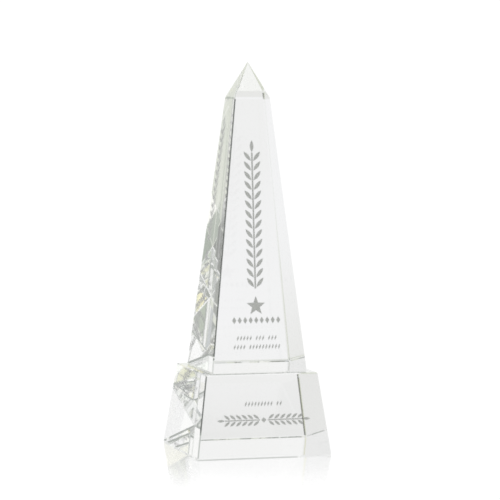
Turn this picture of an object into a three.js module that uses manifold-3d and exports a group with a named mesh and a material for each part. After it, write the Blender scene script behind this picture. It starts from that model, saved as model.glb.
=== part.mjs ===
// Crystal obelisk award: a tapered four-sided crystal spire with a pyramid tip, bonded by a thin
// film of clear adhesive to a heavier tapered crystal base. The front faces of the spire and of
// the base carry a shallow sand-carved ornament.
//
// Millimetres, +Z up. The origin is the middle of the base's underside, and -Y is the front.

import * as THREE from 'three';
import { mergeVertices } from 'three/addons/utils/BufferGeometryUtils.js';
import Module from 'manifold-3d';

const wasm = await Module();
wasm.setup();

// ---------------------------------------------------------------- driving dimensions

const TOTAL_HEIGHT = 254;         // from the underside of the base to the point of the tip

const BASE_BOTTOM = 90;           // side of the base's square underside
const BASE_TOP = 75;              // side of the base's square top
const BASE_HEIGHT = 53.2;

const BOND_THICKNESS = 0.2;       // cured adhesive between the base and the spire

const SPIRE_BOTTOM = 64;          // side of the spire's square underside
const SPIRE_SHOULDER = 24;        // side of the spire where the pyramid tip begins
const SHAFT_HEIGHT = 177;         // from the spire's underside to the shoulder

const CARVE_DEPTH = 0.5;          // depth of the ornament, square to the face it is carved in
const CARVE_OVERRUN = 1;          // how far a cutting prism stands proud of that face
const CURVE_STEPS = 5;            // straight steps along each bowed side of a leaf

// Ornament on the spire's front face. HEIGHT values run up the sloping face from its lower edge,
// and the whole ornament hangs on one upright line, ORNAMENT_LINE to the right of the middle.
const ORNAMENT_LINE = -1.5;
const COLUMN_BRANCH = { pairs: 14, spacing: 6.3, stem: 1, foot: 54.5 };
const COLUMN_LEAF = { length: 7.6, width: 2.3, angle: 0.66, clearance: 0.35 };
const STAR = { outer: 6.4, inner: 2.7, points: 5, height: 43.2 };
const LOZENGE_ROW = { count: 9, length: 2.7, width: 4.4, spacing: 3.7, height: 34 };
const UPPER_SPRIG = { groups: [5, 3, 3], height: 22.5 };
const LOWER_SPRIG = { groups: [4, 10], height: 16.8 };

// Ornament on the base's front face.
const BASE_SPRIG = { groups: [9, 2], height: 34.6 };
const BASE_BRANCH = { pairs: 6, spacing: 3.9, stem: 0.7, foot: 2.6 };
const BASE_LEAF = { length: 4.8, width: 1.6, angle: 0.66, clearance: 0.3 };
const BASE_BRANCH_HEIGHT = 24.2;
const BASE_JEWEL = 1.7;           // half the diagonal of the lozenge between the two base branches

// One leaf of a sprig: a slim leaning lozenge, set at an even spacing with a gap between groups.
const LEAF = { length: 3.4, width: 1.15, lean: 0.3, spacing: 2.15, groupGap: 1.9 };

// ---------------------------------------------------------------- derived dimensions

const SPIRE_FOOT = BASE_HEIGHT + BOND_THICKNESS;
const TIP_HEIGHT = TOTAL_HEIGHT - SPIRE_FOOT - SHAFT_HEIGHT;

// ---------------------------------------------------------------- materials

const crystal = new THREE.MeshStandardMaterial({
  color: 0xe9efec, roughness: 0.03, metalness: 0, transparent: true, opacity: 0.35,
});
const adhesive = new THREE.MeshStandardMaterial({
  color: 0xf2f3ee, roughness: 0.1, metalness: 0, transparent: true, opacity: 0.35,
});

// ---------------------------------------------------------------- solids

// A solid of stacked square sections: each level is [side, z], and a side of 0 is a point.
function squareStack(levels) {
  const positions = [];
  const corners = [[-1, -1], [1, -1], [1, 1], [-1, 1]];
  const at = ([side, z], corner) => {
    const [x, y] = corners[corner % 4];
    return [x * side / 2, y * side / 2, z];
  };
  const triangle = (a, b, c) => positions.push(...a, ...b, ...c);
  const lowest = levels[0];
  const highest = levels[levels.length - 1];
  triangle(at(lowest, 0), at(lowest, 2), at(lowest, 1));
  triangle(at(lowest, 0), at(lowest, 3), at(lowest, 2));
  for (let i = 0; i + 1 < levels.length; i += 1) {
    const [low, high] = [levels[i], levels[i + 1]];
    for (let k = 0; k < 4; k += 1) {
      triangle(at(low, k), at(low, k + 1), at(high, k + 1));
      if (high[0] > 0) triangle(at(low, k), at(high, k + 1), at(high, k));
    }
  }
  if (highest[0] > 0) {
    triangle(at(highest, 0), at(highest, 1), at(highest, 2));
    triangle(at(highest, 0), at(highest, 2), at(highest, 3));
  }
  const geometry = new THREE.BufferGeometry();
  geometry.setAttribute('position', new THREE.Float32BufferAttribute(positions, 3));
  return geometry;
}

function toManifold(geometry) {
  const bare = geometry.clone();
  for (const name of Object.keys(bare.attributes)) {
    if (name !== 'position') bare.deleteAttribute(name);
  }
  const merged = mergeVertices(bare, 1e-5);
  return new wasm.Manifold(new wasm.Mesh({
    numProp: 3,
    vertProperties: new Float32Array(merged.attributes.position.array),
    triVerts: new Uint32Array(merged.index.array),
  }));
}

function toGeometry(solid) {
  const mesh = solid.getMesh();
  const geometry = new THREE.BufferGeometry();
  geometry.setAttribute('position', new THREE.BufferAttribute(new Float32Array(mesh.vertProperties), 3));
  geometry.setIndex(new THREE.BufferAttribute(new Uint32Array(mesh.triVerts), 1));
  return geometry;
}

// ---------------------------------------------------------------- ornament outlines
// Every outline is drawn on the face: x to the right and y up the slope, from the middle of the
// face's lower edge.

function straightShape(points) {
  return new THREE.Shape(points.map(([x, y]) => new THREE.Vector2(x, y)));
}

// A leaf with two bowed sides, from its root at x, y to its tip, at `angle` from +x.
function leafShape(x, y, angle, { length, width }) {
  const along = (distance, side) => [
    x + distance * Math.cos(angle) - side * Math.sin(angle),
    y + distance * Math.sin(angle) + side * Math.cos(angle),
  ];
  const shape = new THREE.Shape();
  shape.moveTo(x, y);
  shape.quadraticCurveTo(...along(length / 2, -width), ...along(length, 0));
  shape.quadraticCurveTo(...along(length / 2, width), x, y);
  return shape;
}

// A branch that grows from x, y along `heading`: a slim stem, pairs of leaves that lean away from
// it on both sides, and one leaf at its end.
function branch(x, y, heading, { pairs, spacing, stem, foot }, leaf) {
  const along = (distance, side) => [
    x + distance * Math.cos(heading) - side * Math.sin(heading),
    y + distance * Math.sin(heading) + side * Math.cos(heading),
  ];
  const stemEnd = foot + pairs * spacing;
  const root = stem / 2 + leaf.clearance;
  const shapes = [straightShape([
    along(foot, -stem / 2), along(stemEnd, -stem / 2), along(stemEnd, stem / 2), along(foot, stem / 2),
  ])];
  for (let i = 0; i < pairs; i += 1) {
    const start = foot + (i + 0.15) * spacing;
    for (const side of [-1, 1]) {
      shapes.push(leafShape(...along(start, side * root), heading + side * leaf.angle, leaf));
    }
  }
  shapes.push(leafShape(...along(stemEnd + leaf.clearance, 0), heading, leaf));
  return shapes;
}

function star({ outer, inner, points, height }, line) {
  const outline = [];
  for (let i = 0; i < 2 * points; i += 1) {
    const angle = Math.PI / 2 + i * Math.PI / points;
    const radius = i % 2 === 0 ? outer : inner;
    outline.push([line + radius * Math.cos(angle), height + radius * Math.sin(angle)]);
  }
  return [straightShape(outline)];
}

// A lozenge whose long diagonal leans to the right by `lean` for each unit that it climbs.
function lozenge(x, y, halfLength, halfWidth, lean) {
  return straightShape([[x - halfWidth, y], [x - lean * halfLength, y - halfLength],
    [x + halfWidth, y], [x + lean * halfLength, y + halfLength]]);
}

function lozengeRow({ count, length, width, spacing, height }, line) {
  return Array.from({ length: count }, (_, i) => (
    lozenge(line + (i - (count - 1) / 2) * spacing, height, width / 2, length / 2, 0)
  ));
}

// A row of leaning leaves in groups, centred on the line.
function sprig({ groups, height }, line) {
  const places = [];
  let x = 0;
  for (const count of groups) {
    for (let i = 0; i < count; i += 1) {
      places.push(x);
      x += LEAF.spacing;
    }
    x += LEAF.groupGap;
  }
  const middle = places[places.length - 1] / 2;
  return places.map((place) => (
    lozenge(line + place - middle, height, LEAF.length / 2, LEAF.width / 2, LEAF.lean)
  ));
}

// ---------------------------------------------------------------- carving

// Carves the shapes into the front face of a tapered block whose sides shrink from `lower` to
// `upper` between z and z + height.
function carveFront(geometry, shapes, { lower, upper, z, height }) {
  const lean = Math.atan2((lower - upper) / 2, height);
  const toFace = new THREE.Matrix4()
    .makeRotationX(Math.PI / 2 - lean)
    .setPosition(0, -lower / 2, z);
  let solid = toManifold(geometry);
  for (const shape of shapes) {
    const cutter = new THREE.ExtrudeGeometry(shape, {
      depth: CARVE_DEPTH + CARVE_OVERRUN, curveSegments: CURVE_STEPS, bevelEnabled: false,
    });
    cutter.translate(0, 0, -CARVE_DEPTH);
    cutter.applyMatrix4(toFace);
    solid = solid.subtract(toManifold(cutter));
  }
  return toGeometry(solid);
}

// ---------------------------------------------------------------- sub-parts

function baseBlock() {
  const block = squareStack([[BASE_BOTTOM, 0], [BASE_TOP, BASE_HEIGHT]]);
  const shapes = [
    ...sprig(BASE_SPRIG, 0),
    lozenge(0, BASE_BRANCH_HEIGHT, BASE_JEWEL, BASE_JEWEL, 0),
    ...branch(0, BASE_BRANCH_HEIGHT, 0, BASE_BRANCH, BASE_LEAF),
    ...branch(0, BASE_BRANCH_HEIGHT, Math.PI, BASE_BRANCH, BASE_LEAF),
  ];
  const carved = carveFront(block, shapes, {
    lower: BASE_BOTTOM, upper: BASE_TOP, z: 0, height: BASE_HEIGHT,
  });
  const mesh = new THREE.Mesh(carved, crystal);
  mesh.name = 'base_block';
  return mesh;
}

function bondFilm() {
  const film = squareStack([[SPIRE_BOTTOM, BASE_HEIGHT], [SPIRE_BOTTOM, SPIRE_FOOT]]);
  const mesh = new THREE.Mesh(film, adhesive);
  mesh.name = 'bond_film';
  return mesh;
}

function obeliskSpire() {
  const spire = squareStack([
    [SPIRE_BOTTOM, SPIRE_FOOT],
    [SPIRE_SHOULDER, SPIRE_FOOT + SHAFT_HEIGHT],
    [0, SPIRE_FOOT + SHAFT_HEIGHT + TIP_HEIGHT],
  ]);
  const shapes = [
    ...branch(ORNAMENT_LINE, 0, Math.PI / 2, COLUMN_BRANCH, COLUMN_LEAF),
    ...star(STAR, ORNAMENT_LINE),
    ...lozengeRow(LOZENGE_ROW, ORNAMENT_LINE),
    ...sprig(UPPER_SPRIG, ORNAMENT_LINE),
    ...sprig(LOWER_SPRIG, ORNAMENT_LINE),
  ];
  const carved = carveFront(spire, shapes, {
    lower: SPIRE_BOTTOM, upper: SPIRE_SHOULDER, z: SPIRE_FOOT, height: SHAFT_HEIGHT,
  });
  const mesh = new THREE.Mesh(carved, crystal);
  mesh.name = 'obelisk_spire';
  return mesh;
}

const award = new THREE.Group();
award.add(baseBlock(), bondFilm(), obeliskSpire());

export default award;
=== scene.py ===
"""A crystal obelisk award on a pale glossy floor, in soft studio light.

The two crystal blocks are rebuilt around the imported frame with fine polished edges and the
ornament carved into their front faces. Metres, +Z up, -Y is the front.
"""

import math

import bmesh
import bpy
from mathutils import Matrix, Vector
from mathutils.geometry import delaunay_2d_cdt


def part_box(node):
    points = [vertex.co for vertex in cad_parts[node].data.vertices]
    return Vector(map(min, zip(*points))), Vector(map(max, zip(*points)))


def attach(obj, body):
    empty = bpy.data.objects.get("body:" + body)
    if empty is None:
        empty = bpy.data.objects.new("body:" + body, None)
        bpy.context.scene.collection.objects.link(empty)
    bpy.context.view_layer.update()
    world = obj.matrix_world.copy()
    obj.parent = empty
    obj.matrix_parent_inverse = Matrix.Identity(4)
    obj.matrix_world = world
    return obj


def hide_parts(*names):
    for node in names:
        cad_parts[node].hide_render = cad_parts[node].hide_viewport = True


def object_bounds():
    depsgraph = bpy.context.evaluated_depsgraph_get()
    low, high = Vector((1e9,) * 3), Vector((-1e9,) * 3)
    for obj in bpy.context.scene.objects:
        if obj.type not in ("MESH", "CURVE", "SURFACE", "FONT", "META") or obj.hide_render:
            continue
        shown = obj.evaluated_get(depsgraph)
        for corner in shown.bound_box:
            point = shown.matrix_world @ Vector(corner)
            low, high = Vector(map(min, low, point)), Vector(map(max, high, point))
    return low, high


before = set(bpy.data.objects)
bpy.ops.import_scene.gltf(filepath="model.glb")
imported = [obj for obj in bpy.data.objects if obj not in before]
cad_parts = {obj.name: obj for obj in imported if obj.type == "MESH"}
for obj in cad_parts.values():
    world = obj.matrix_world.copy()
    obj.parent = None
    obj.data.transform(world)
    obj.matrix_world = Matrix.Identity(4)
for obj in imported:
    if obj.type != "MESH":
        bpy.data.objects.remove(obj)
cad_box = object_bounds()
MM = 0.001
WELD = 0.001 * MM                # corners closer than this are one corner
SAME_LEVEL = 0.01 * MM           # heights closer than this are one height
SAME_WAY = 0.9999                # a face points a way when its normal has this much of it

# ---------------------------------------------------------------- sizes from the frame

base_low, base_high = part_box("base_block")
film_low, film_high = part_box("bond_film")
spire_low, spire_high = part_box("obelisk_spire")


def half_side_at(node, height):
    """Half the width of a CAD node at a height, read from its corners there."""
    corners = [v.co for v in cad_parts[node].data.vertices if abs(v.co.z - height) < SAME_LEVEL]
    return max(corner.x for corner in corners)


def shoulder_height():
    """The spire's highest corners below the point of its tip."""
    heights = [v.co.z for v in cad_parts["obelisk_spire"].data.vertices]
    return max(z for z in heights if z < spire_high.z - 1 * MM)


SHOULDER = shoulder_height()
BASE_LEVELS = [(base_high.x, base_low.z), (half_side_at("base_block", base_high.z), base_high.z)]
SPIRE_LEVELS = [
    (spire_high.x, spire_low.z),
    (half_side_at("obelisk_spire", SHOULDER), SHOULDER),
    (0.0, spire_high.z),
]

# ---------------------------------------------------------------- ornament
# Drawn on a front face in millimetres: x to the right, y up the slope, from the middle of the
# face's lower edge. Each outline is a list of corners, anticlockwise.

ORNAMENT_LINE = -1.5
CURVE_STEPS = 10
COLUMN_BRANCH = {"pairs": 14, "spacing": 6.3, "stem": 1.0, "foot": 54.5}
COLUMN_LEAF = {"length": 7.6, "width": 2.3, "angle": 0.66, "clearance": 0.35}
STAR = {"outer": 6.4, "inner": 2.7, "points": 5, "height": 43.2}
LOZENGE_ROW = {"count": 9, "length": 2.7, "width": 4.4, "spacing": 3.7, "height": 34.0}
UPPER_SPRIG = {"groups": (5, 3, 3), "height": 22.5}
LOWER_SPRIG = {"groups": (4, 10), "height": 16.8}
BASE_SPRIG = {"groups": (9, 2), "height": 34.6}
BASE_BRANCH = {"pairs": 6, "spacing": 3.9, "stem": 0.7, "foot": 2.6}
BASE_LEAF = {"length": 4.8, "width": 1.6, "angle": 0.66, "clearance": 0.3}
BASE_BRANCH_HEIGHT = 24.2
BASE_JEWEL = 1.7
SPRIG_LEAF = {"length": 3.4, "width": 1.15, "lean": 0.3, "spacing": 2.15, "group_gap": 1.9}


def placed(x, y, heading):
    """A function that turns a distance along a heading, and one to its left, into a point."""
    ahead = Vector((math.cos(heading), math.sin(heading)))
    left = Vector((-ahead.y, ahead.x))
    start = Vector((x, y))
    return lambda distance, side: start + ahead * distance + left * side


def leaf(x, y, heading, length, width):
    """A leaf with two bowed sides, from its root at x, y to its tip."""
    at = placed(x, y, heading)
    outline = []
    for side in (-1, 1):
        for step in range(CURVE_STEPS):
            t = step / CURVE_STEPS
            along = t if side < 0 else 1 - t
            outline.append(at(length * along, side * 2 * width * t * (1 - t)))
    return outline


def branch(x, y, heading, pairs, spacing, stem, foot, leaf_form):
    """A slim stem, pairs of leaves leaning away from it on both sides, and a leaf at its end."""
    at = placed(x, y, heading)
    end = foot + pairs * spacing
    outlines = [[at(foot, -stem / 2), at(end, -stem / 2), at(end, stem / 2), at(foot, stem / 2)]]
    size = (leaf_form["length"], leaf_form["width"])
    for i in range(pairs):
        for side in (-1, 1):
            root = at(foot + (i + 0.15) * spacing, side * (stem / 2 + leaf_form["clearance"]))
            outlines.append(leaf(*root, heading + side * leaf_form["angle"], *size))
    outlines.append(leaf(*at(end + leaf_form["clearance"], 0), heading, *size))
    return outlines


def lozenge(x, y, half_length, half_width, lean):
    """A lozenge whose long diagonal leans to the right by lean for each unit that it climbs."""
    corners = [(-half_width, 0), (-lean * half_length, -half_length)]
    corners += [(half_width, 0), (lean * half_length, half_length)]
    return [Vector((x + dx, y + dy)) for dx, dy in corners]


def star(outer, inner, points, height):
    outline = []
    for i in range(2 * points):
        angle = math.pi / 2 + i * math.pi / points
        radius = inner if i % 2 else outer
        outline.append(Vector((ORNAMENT_LINE + radius * math.cos(angle), height + radius * math.sin(angle))))
    return [outline]


def lozenge_row(count, length, width, spacing, height):
    places = [ORNAMENT_LINE + (i - (count - 1) / 2) * spacing for i in range(count)]
    return [lozenge(x, height, width / 2, length / 2, 0) for x in places]


def sprig(line, groups, height):
    """A row of leaning leaves in groups, centred on the line."""
    places = []
    x = 0.0
    for count in groups:
        for _ in range(count):
            places.append(x)
            x += SPRIG_LEAF["spacing"]
        x += SPRIG_LEAF["group_gap"]
    start = line - places[-1] / 2
    size = (SPRIG_LEAF["length"] / 2, SPRIG_LEAF["width"] / 2, SPRIG_LEAF["lean"])
    return [lozenge(start + place, height, *size) for place in places]


def spire_ornament():
    column = branch(ORNAMENT_LINE, 0, math.pi / 2, **COLUMN_BRANCH, leaf_form=COLUMN_LEAF)
    rows = sprig(ORNAMENT_LINE, **UPPER_SPRIG) + sprig(ORNAMENT_LINE, **LOWER_SPRIG)
    return column + star(**STAR) + lozenge_row(**LOZENGE_ROW) + rows


def base_ornament():
    outlines = sprig(0, **BASE_SPRIG)
    outlines.append(lozenge(0, BASE_BRANCH_HEIGHT, BASE_JEWEL, BASE_JEWEL, 0))
    for heading in (0, math.pi):
        outlines += branch(0, BASE_BRANCH_HEIGHT, heading, **BASE_BRANCH, leaf_form=BASE_LEAF)
    return outlines


# ---------------------------------------------------------------- the blocks

EDGE = 0.7 * MM                  # setback of the flat chamfer along an edge
TIP_EDGE = 0.25 * MM             # and along the edges that run to the point
CARVE_DEPTH = 0.15 * MM
FILM_CLEARANCE = 0.02 * MM       # between each face of the film and the crystal
FILM_CORNER = 1.2 * MM           # radius of the film's rounded corners
FILM_CORNER_STEPS = 8

POLISHED, CARVED, BONDED = 0, 1, 2   # material slots of a block


def square(half):
    """The corners of a square, anticlockwise from the front left one."""
    return [(-half, -half), (half, -half), (half, half), (-half, half)]


def tapered_block(levels):
    """A closed mesh of stacked square sections, each (half side, height), with chamfered edges."""
    bm = bmesh.new()
    rings = []
    for half, z in levels:
        corners = square(half) if half else [(0, 0)]
        rings.append([bm.verts.new((x, y, z)) for x, y in corners])
    bm.faces.new(rings[0][::-1])
    for low, high in zip(rings, rings[1:]):
        for k in range(4):
            upper = [high[(k + 1) % 4], high[k]] if len(high) == 4 else high
            bm.faces.new([low[k], low[(k + 1) % 4]] + upper)
    if len(rings[-1]) == 4:
        bm.faces.new(rings[-1])
    point = rings[-1][0] if len(rings[-1]) == 1 else None
    chamfer(bm, [edge for edge in bm.edges if point not in edge.verts], EDGE)
    chamfer(bm, list(point.link_edges) if point else [], TIP_EDGE)
    return bm


def chamfer(bm, edges, setback):
    """Replaces each edge with one flat strip."""
    if edges:
        bmesh.ops.bevel(bm, geom=edges, offset=setback, offset_type="OFFSET", segments=1, affect="EDGES")


def carve_front(bm, lower, upper, outlines):
    """Cuts the outlines into the sloping front face between two levels, with frosted floors and walls."""
    origin = Vector((0, -lower[0], lower[1]))
    up = Vector((0, lower[0] - upper[0], upper[1] - lower[1])).normalized()
    out = Vector((1, 0, 0)).cross(up)
    inward = -out * CARVE_DEPTH
    front = max((f for f in bm.faces if f.normal.dot(out) > SAME_WAY), key=lambda f: f.calc_area())
    rim = [v.co.copy() for v in front.verts]
    rim_2d = [Vector(((p - origin).x, (p - origin).dot(up))) for p in rim]
    points = list(rim_2d)
    loops = [list(range(len(rim)))]
    for outline in outlines:
        loops.append(list(range(len(points), len(points) + len(outline))))
        points += [p * MM for p in outline]
    placed_2d, _, triangles, _, _, sources = delaunay_2d_cdt(points, [], loops, 1, 1e-9, True)
    bmesh.ops.delete(bm, geom=[front], context="FACES_ONLY")
    surface = [bm.verts.new(origin + Vector((1, 0, 0)) * p.x + up * p.y) for p in placed_2d]
    floors = {}
    edge_count = {}
    for triangle, source in zip(triangles, sources):
        if any(s > 0 for s in source):
            for i in triangle:
                if i not in floors:
                    floors[i] = bm.verts.new(surface[i].co + inward)
            bm.faces.new([floors[i] for i in triangle]).material_index = CARVED
            for a, b in zip(triangle, list(triangle[1:]) + [triangle[0]]):
                edge_count[a, b] = edge_count.get((a, b), 0) + 1
        else:
            bm.faces.new([surface[i] for i in triangle]).material_index = POLISHED
    for a, b in edge_count:
        if (b, a) not in edge_count:
            wall = bm.faces.new([floors[b], floors[a], surface[a], surface[b]])
            wall.material_index = CARVED
    bmesh.ops.remove_doubles(bm, verts=list(bm.verts), dist=WELD)


def bond_underside(bm, height):
    """Marks the flat face at the block's lower end as bonded."""
    for face in bm.faces:
        if face.normal.z < -SAME_WAY and abs(face.calc_center_median().z - height) < SAME_LEVEL:
            face.material_index = BONDED


def bond_top(bm, height, half):
    """Cuts a square out of the flat top face, and marks it as bonded."""
    top = max((f for f in bm.faces if f.normal.z > SAME_WAY), key=lambda f: f.calc_area())
    bmesh.ops.delete(bm, geom=[top], context="FACES_ONLY")
    outer = sorted_corners([v for v in bm.verts if abs(v.co.z - height) < WELD])
    inner = [bm.verts.new((x, y, height)) for x, y in square(half)]
    for k in range(4):
        bm.faces.new([outer[k], outer[(k + 1) % 4], inner[(k + 1) % 4], inner[k]])
    bm.faces.new(inner).material_index = BONDED


def sorted_corners(vertices):
    """The vertices anticlockwise, from the front left one."""
    return sorted(vertices, key=lambda v: (math.atan2(v.co.y, v.co.x) + math.pi) % (2 * math.pi))


def rounded_slab(half, low, high):
    """A thin square slab whose upright edges are rounded, as surface tension leaves a cured film."""
    bm = bmesh.new()
    bmesh.ops.create_cube(bm, size=2.0)
    for vertex in bm.verts:
        vertex.co.x *= half
        vertex.co.y *= half
        vertex.co.z = low if vertex.co.z < 0 else high
    upright = [edge for edge in bm.edges if abs(edge.verts[0].co.z - edge.verts[1].co.z) > WELD]
    rounding = {"offset": FILM_CORNER, "segments": FILM_CORNER_STEPS, "profile": 0.5}
    bmesh.ops.bevel(bm, geom=upright, affect="EDGES", **rounding)
    return bm


def finished_object(name, bm, materials):
    loose = [v for v in bm.verts if not v.link_faces]
    bmesh.ops.delete(bm, geom=loose, context="VERTS")
    bmesh.ops.recalc_face_normals(bm, faces=list(bm.faces))
    mesh = bpy.data.meshes.new(name)
    bm.to_mesh(mesh)
    bm.free()
    piece = bpy.data.objects.new(name, mesh)
    bpy.context.scene.collection.objects.link(piece)
    for material in materials:
        mesh.materials.append(material)
    return piece


# ---------------------------------------------------------------- materials

CRYSTAL_IOR = 1.52
ADHESIVE_IOR = 1.49


def new_material(name):
    material = bpy.data.materials.new(name)
    material.use_nodes = True
    tree = material.node_tree
    return material, tree.nodes, tree.links, tree.nodes["Principled BSDF"]


def new_glass(name, ior):
    """A material that starts as clear, smooth glass."""
    material, nodes, links, shader = new_material(name)
    shader.inputs["IOR"].default_value = ior
    shader.inputs["Roughness"].default_value = 0.0
    shader.inputs["Transmission Weight"].default_value = 1.0
    return material, nodes, links, shader


def noise(nodes, links, per_metre, detail):
    """Cloudy values from 0 to 1, fixed to the object."""
    place = nodes.new("ShaderNodeTexCoord")
    clouds = nodes.new("ShaderNodeTexNoise")
    clouds.inputs["Scale"].default_value = per_metre
    clouds.inputs["Detail"].default_value = detail
    links.new(place.outputs["Object"], clouds.inputs["Vector"])
    return clouds.outputs["Fac"]


def tinted_by(nodes, links, value, shader, dark, light):
    """Lets a value choose the base colour between two tints."""
    ramp = nodes.new("ShaderNodeValToRGB")
    ramp.color_ramp.elements[0].position = 0.3
    ramp.color_ramp.elements[0].color = (*dark, 1)
    ramp.color_ramp.elements[1].position = 0.7
    ramp.color_ramp.elements[1].color = (*light, 1)
    links.new(value, ramp.inputs["Fac"])
    links.new(ramp.outputs["Color"], shader.inputs["Base Color"])


def bumped_by(nodes, links, value, shader, height):
    """Lets a value raise the surface by up to a height."""
    bump = nodes.new("ShaderNodeBump")
    bump.inputs["Strength"].default_value = 1.0
    bump.inputs["Distance"].default_value = height
    links.new(value, bump.inputs["Height"])
    links.new(bump.outputs["Normal"], shader.inputs["Normal"])


def crystal_material():
    """Polished optical crystal: clear, faintly tinted, with the long soft waves that polishing leaves."""
    material, nodes, links, shader = new_glass("polished_crystal", CRYSTAL_IOR)
    tinted_by(nodes, links, noise(nodes, links, 22, 1), shader, (0.911, 0.915, 0.908), (0.922, 0.925, 0.922))
    bumped_by(nodes, links, noise(nodes, links, 20, 0), shader, 0.002 * MM)
    return material


def carved_material():
    """Sand-carved crystal: matt, with a fine grain."""
    material, nodes, links, shader = new_material("carved_crystal")
    shader.inputs["IOR"].default_value = CRYSTAL_IOR
    shader.inputs["Roughness"].default_value = 0.6
    grain = noise(nodes, links, 1600, 3)
    tinted_by(nodes, links, grain, shader, (0.47, 0.47, 0.48), (0.65, 0.65, 0.65))
    bumped_by(nodes, links, grain, shader, 0.05 * MM)
    return material


def bonded_material():
    """A face of a crystal block that the adhesive wets, so it bends light only a little."""
    material, nodes, links, shader = new_glass("bonded_crystal", CRYSTAL_IOR / ADHESIVE_IOR)
    tinted_by(nodes, links, noise(nodes, links, 120, 2), shader, (0.985, 0.985, 0.98), (1, 1, 1))
    return material


def film_material():
    """Cured optical adhesive. Both of its faces are wetted, so light passes them unbent."""
    material, nodes, links, shader = new_glass("cured_adhesive", 1.0)
    tinted_by(nodes, links, noise(nodes, links, 200, 2), shader, (0.985, 0.985, 0.975), (1, 1, 1))
    return material


# ---------------------------------------------------------------- pieces


def place_piece(piece, node):
    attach(piece, "root")
    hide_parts(node)


def make_spire(materials):
    bm = tapered_block(SPIRE_LEVELS)
    carve_front(bm, SPIRE_LEVELS[0], SPIRE_LEVELS[1], spire_ornament())
    bond_underside(bm, spire_low.z)
    place_piece(finished_object("crystal_spire", bm, materials), "obelisk_spire")


def make_base(materials):
    bm = tapered_block(BASE_LEVELS)
    carve_front(bm, BASE_LEVELS[0], BASE_LEVELS[1], base_ornament())
    bond_top(bm, base_high.z, FILM_HALF)
    place_piece(finished_object("crystal_base", bm, materials), "base_block")


def make_film(material):
    bm = rounded_slab(FILM_HALF, film_low.z + FILM_CLEARANCE, film_high.z - FILM_CLEARANCE)
    place_piece(finished_object("adhesive_film", bm, [material]), "bond_film")


FILM_HALF = film_high.x - EDGE       # the film stops where the spire's lower chamfers begin
block_materials = [crystal_material(), carved_material(), bonded_material()]
make_spire(block_materials)
make_base(block_materials)
make_film(film_material())

# ---------------------------------------------------------------- floor and studio

FLOOR_RADIUS = 4.0
FLOOR_DROP = 0.05 * MM           # keeps the floor clear of the base's underside
DOME_RADIUS = 6.0
GLOSS_NEAR = 45 * MM             # the floor's mirror image fades out between these distances
GLOSS_FAR = 215 * MM
GLOSS_WEIGHT = 0.68
GLOSS_ROUGHNESS = 0.05
GLOSS_IOR = 1.5
WHITE_GLOW = 1.06                # a touch past white, so that an empty background stays even


def math_node(nodes, links, operation, *values):
    """A Math node whose inputs are numbers or sockets; returns its output."""
    node = nodes.new("ShaderNodeMath")
    node.operation = operation
    for socket, value in zip(node.inputs, values):
        if isinstance(value, (int, float)):
            socket.default_value = value
        else:
            links.new(value, socket)
    return node.outputs[0]


def floor_material():
    """A white glowing sheet whose polish fades away from the object."""
    material, nodes, links, shader = new_material("pale_floor")
    nodes.remove(shader)
    place = nodes.new("ShaderNodeTexCoord")
    reach = nodes.new("ShaderNodeVectorMath")
    reach.operation = "LENGTH"
    links.new(place.outputs["Object"], reach.inputs[0])
    fade = nodes.new("ShaderNodeMapRange")
    fade.interpolation_type = "SMOOTHSTEP"
    fade.inputs["From Min"].default_value = GLOSS_NEAR
    fade.inputs["From Max"].default_value = GLOSS_FAR
    fade.inputs["To Min"].default_value = GLOSS_WEIGHT
    fade.inputs["To Max"].default_value = 0.0
    links.new(reach.outputs["Value"], fade.inputs["Value"])
    grazing = nodes.new("ShaderNodeFresnel")
    grazing.inputs["IOR"].default_value = GLOSS_IOR
    weight = math_node(nodes, links, "MULTIPLY", fade.outputs["Result"], grazing.outputs["Fac"])
    glow = nodes.new("ShaderNodeEmission")
    glow.inputs["Strength"].default_value = WHITE_GLOW
    gloss = nodes.new("ShaderNodeBsdfGlossy")
    gloss.inputs["Color"].default_value = (1, 1, 1, 1)
    gloss.inputs["Roughness"].default_value = GLOSS_ROUGHNESS
    mix = nodes.new("ShaderNodeMixShader")
    links.new(weight, mix.inputs[0])
    links.new(glow.outputs[0], mix.inputs[1])
    links.new(gloss.outputs[0], mix.inputs[2])
    links.new(mix.outputs[0], nodes["Material Output"].inputs["Surface"])
    return material


def hide_from_crystal(thing, mirrored):
    """Lets only the camera see a stage object, and mirror images too when mirrored is true."""
    thing.visible_diffuse = False
    thing.visible_glossy = mirrored
    thing.visible_transmission = False
    thing.visible_shadow = False


def make_floor():
    bm = bmesh.new()
    bmesh.ops.create_circle(bm, cap_ends=True, radius=FLOOR_RADIUS, segments=64)
    for vertex in bm.verts:
        vertex.co.z = -FLOOR_DROP
    floor = finished_object("floor", bm, [floor_material()])
    hide_from_crystal(floor, mirrored=False)


def make_backdrop():
    """A white surround that the camera and mirror images see, and light through the crystal doesn't."""
    material, nodes, links, shader = new_material("white_surround")
    nodes.remove(shader)
    glow = nodes.new("ShaderNodeEmission")
    glow.inputs["Strength"].default_value = WHITE_GLOW
    links.new(glow.outputs[0], nodes["Material Output"].inputs["Surface"])
    bm = bmesh.new()
    bmesh.ops.create_uvsphere(bm, u_segments=48, v_segments=24, radius=DOME_RADIUS)
    dome = finished_object("surround", bm, [material])
    hide_from_crystal(dome, mirrored=True)


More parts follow.
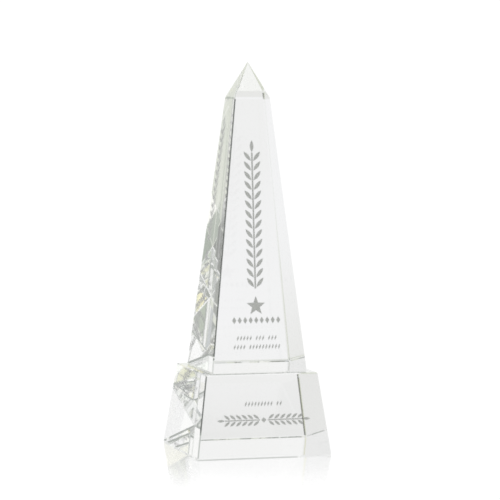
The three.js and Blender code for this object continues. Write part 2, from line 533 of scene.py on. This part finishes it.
# The studio that the crystal sees, floor included. Directions are in degrees: azimuth 0 is behind the
# object and 90 to its right; elevation 90 is straight up. Most rows started from a ray tracer's reading
# of the photograph's tones, so they fit that one view and aren't a plain studio.
ROOM_LIGHT = (0.43, 0.46, 0.43)
SOFT_CARDS = (
    # azimuth, elevation, half width, half height, softness, light
    (0, 90, 180, 45, 38, (0.21, 0.24, 0.21)),       # dim ceiling
    (0, -20, 180, 24, 8, (0.90, 0.91, 0.90)),       # floor all round
    (0, -90, 180, 52, 4, (0.71, 0.74, 0.64)),       # floor close to the object, darker and greener: painted shade under the base
    (6, -15, 23, 20, 3, (0.97, 0.97, 0.98)),        # floor sweep
    (6, -24, 23, 6, 4, (0.87, 0.87, 0.86)),         # floor behind the base, darker: painted shade cast by the base
    (12, -4, 14, 4, 4, (0.93, 0.93, 0.93)),         # far floor
    (12, 8, 20, 11, 6, (0.97, 0.97, 0.97)),         # backdrop, right
    (-20, 8, 14, 11, 6, (0.87, 0.87, 0.87)),        # backdrop, left
    (-17, 25, 4, 7, 4, (0.90, 0.90, 0.84)),         # backdrop, upper left
    (24, -43, 14, 7, 6, (1.05, 1.05, 1.05)),        # lit floor behind
    (168, -6, 8, 6, 3, (1.20, 1.26, 1.18)),        # floor in front
    (-64, 12, 6, 8, 5, (0.97, 0.99, 0.91)),
    (-106, 18, 12, 5, 4, (0.82, 0.82, 0.56)),
    (-88, 38, 10, 7, 6, (1.60, 1.60, 1.15)),
    (71, 36, 6, 6, 3, (0.18, 0.19, 0.17)),
    (41, 35, 12, 6, 5, (1.05, 1.05, 1.06)),         # right back softbox
    (83, 7, 7, 6, 5, (1.10, 1.10, 1.06)),           # right strip light
    (122, 36, 13, 7, 6, (0.92, 0.92, 0.84)),
    (150, 28, 16, 10, 6, (0.44, 0.47, 0.48)),
    (-44, 40, 10, 8, 5, (0.22, 0.24, 0.20)),
    (144, 23, 3, 6, 2, (1.10, 1.10, 1.10)),
    (160, 24, 6, 7, 2, (1.03, 1.03, 1.03)),         # front right softbox
    (157, 3, 5, 3, 3, (1.00, 0.95, 0.55)),
    (-160, 9, 12, 5, 4, (1.05, 1.05, 1.00)),        # front left fill
    (-43, -26, 9, 4, 2, (0.11, 0.12, 0.10)),        # dark floor, left
    (-25, -17, 6, 9, 1.5, (0.10, 0.10, 0.10)),
    (45, -15, 7, 6, 4, (0.08, 0.09, 0.08)),         # dark floor, right
    (-56, -25, 4, 4, 3, (0.40, 0.47, 0.36)),
    (115, -19, 8, 6, 3, (0.26, 0.32, 0.24)),
    (138, -29, 5, 4, 3, (0.45, 0.48, 0.42)),
    (75, -8, 6, 7, 3, (0.38, 0.46, 0.37)),
    (-128, -33, 12, 4, 3, (0.56, 0.61, 0.53)),
    (-127, -52, 12, 6, 3, (0.32, 0.37, 0.30)),
    (-138, -6, 6, 4, 3, (0.80, 0.78, 0.52)),
    (132, 0, 5, 4, 3, (0.80, 0.76, 0.50)),
    (-138, -45, 3, 3, 2, (1.10, 1.10, 1.04)),
)


def soft_step(nodes, links, value, inner, outer):
    """One below the inner value, nought above the outer one, and smooth between them."""
    step = nodes.new("ShaderNodeMapRange")
    step.interpolation_type = "SMOOTHSTEP"
    step.inputs["From Min"].default_value = inner
    step.inputs["From Max"].default_value = outer
    step.inputs["To Min"].default_value = 1.0
    step.inputs["To Max"].default_value = 0.0
    links.new(value, step.inputs["Value"])
    return step.outputs["Result"]


def make_world():
    world = bpy.data.worlds.new("studio")
    bpy.context.scene.world = world
    world.use_nodes = True
    nodes, links = world.node_tree.nodes, world.node_tree.links
    background = nodes["Background"]
    background.inputs["Strength"].default_value = 1.0
    direction = nodes.new("ShaderNodeTexCoord")
    split = nodes.new("ShaderNodeSeparateXYZ")
    links.new(direction.outputs["Generated"], split.inputs[0])
    x, y, z = split.outputs
    azimuth = math_node(nodes, links, "ARCTAN2", x, y)
    elevation = math_node(nodes, links, "ARCSINE", z)
    room = nodes.new("ShaderNodeRGB")
    room.outputs[0].default_value = (*ROOM_LIGHT, 1)
    colour = room.outputs[0]
    for card_azimuth, card_elevation, half_width, half_height, softness, light in SOFT_CARDS:
        turn = math_node(nodes, links, "SUBTRACT", azimuth, math.radians(card_azimuth))
        aside = math_node(nodes, links, "ARCCOSINE", math_node(nodes, links, "COSINE", turn))
        rise = math_node(nodes, links, "SUBTRACT", elevation, math.radians(card_elevation))
        above = math_node(nodes, links, "ABSOLUTE", rise)
        limits = [math.radians(v) for v in (half_width, half_width + softness)]
        across = soft_step(nodes, links, aside, *limits)
        limits = [math.radians(v) for v in (half_height, half_height + softness)]
        upright = soft_step(nodes, links, above, *limits)
        mask = math_node(nodes, links, "MULTIPLY", across, upright)
        mix = nodes.new("ShaderNodeMix")
        mix.data_type = "RGBA"
        links.new(mask, mix.inputs["Factor"])
        links.new(colour, mix.inputs[6])
        mix.inputs[7].default_value = (*light, 1)
        colour = mix.outputs[2]
    links.new(colour, background.inputs["Color"])


make_floor()
make_backdrop()
make_world()

# ---------------------------------------------------------------- camera

VIEW_AZIMUTH = math.radians(-15.9)
VIEW_ELEVATION = math.radians(4.2)
VIEW_DISTANCE = 1.8
VIEW_LENS = 197.6
AIM_RIGHT = 2.07 * MM
AIM_UP = 3.7 * MM
CAMERA_ROLL = math.radians(0.24)


def make_camera():
    back = Vector((
        math.sin(VIEW_AZIMUTH) * math.cos(VIEW_ELEVATION),
        -math.cos(VIEW_AZIMUTH) * math.cos(VIEW_ELEVATION),
        math.sin(VIEW_ELEVATION),
    ))
    right = Vector((math.cos(VIEW_AZIMUTH), math.sin(VIEW_AZIMUTH), 0))
    centre = (cad_box[0] + cad_box[1]) / 2
    place = centre + back * VIEW_DISTANCE
    aim = centre + right * AIM_RIGHT + back.cross(right) * AIM_UP
    camera = bpy.data.objects.new("camera", bpy.data.cameras.new("camera"))
    bpy.context.scene.collection.objects.link(camera)
    camera.data.lens = VIEW_LENS
    camera.data.sensor_width = 36.0
    camera.location = place
    facing = (aim - place).to_track_quat("-Z", "Y").to_matrix().to_4x4()
    camera.matrix_world = Matrix.Translation(place) @ facing @ Matrix.Rotation(CAMERA_ROLL, 4, "Z")
    bpy.context.scene.camera = camera


make_camera()

# ---------------------------------------------------------------- scene settings

MOST_BOUNCES = 64                # light goes round a corner of the crystal dozens of times

scene = bpy.context.scene
scene.view_settings.view_transform = "Standard"
scene.cycles.max_bounces = MOST_BOUNCES
scene.cycles.transmission_bounces = MOST_BOUNCES
scene.cycles.glossy_bounces = MOST_BOUNCES
scene.cycles.denoising_input_passes = "RGB"
scene.cycles.filter_width = 1.8
